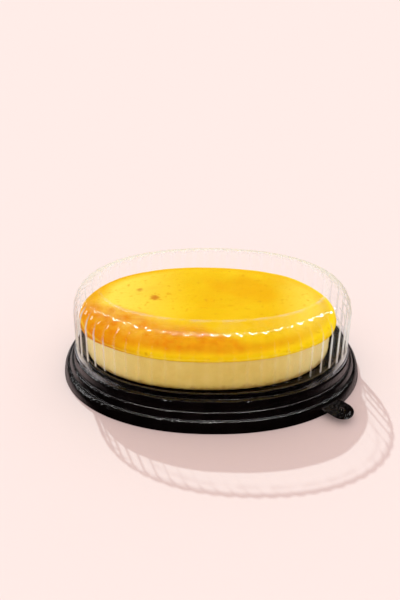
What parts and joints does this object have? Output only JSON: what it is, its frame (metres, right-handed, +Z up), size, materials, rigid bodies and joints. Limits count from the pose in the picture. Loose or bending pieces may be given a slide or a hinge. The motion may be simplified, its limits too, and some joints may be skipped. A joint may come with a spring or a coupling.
{
  "type": "cheesecake",
  "caption": "Oval baked cheesecake with a golden skin and a pale side, shut under a clear fluted dome on a black tray with a round pull tab",
  "frame": {"origin": "middle of the tray's footprint, on the surface that the tray stands on", "axes": "+X along the oval's length, +Z up; the pull tab is at the front right, towards +X and -Y"},
  "size_m": [0.225, 0.1574, 0.0715],
  "materials": {
    "tray_black": "glossy black formed sheet",
    "dome_clear": "clear glossy formed plastic sheet",
    "cake_pale": "fine pale baked crumb",
    "cake_golden": "golden baked skin, browner at the front left"
  },
  "bodies": {
    "root": {"tray": "tray_black", "dome": "dome_clear", "cake_body": "cake_pale", "cake_top": "cake_golden"}
  },
  "joints": []
}
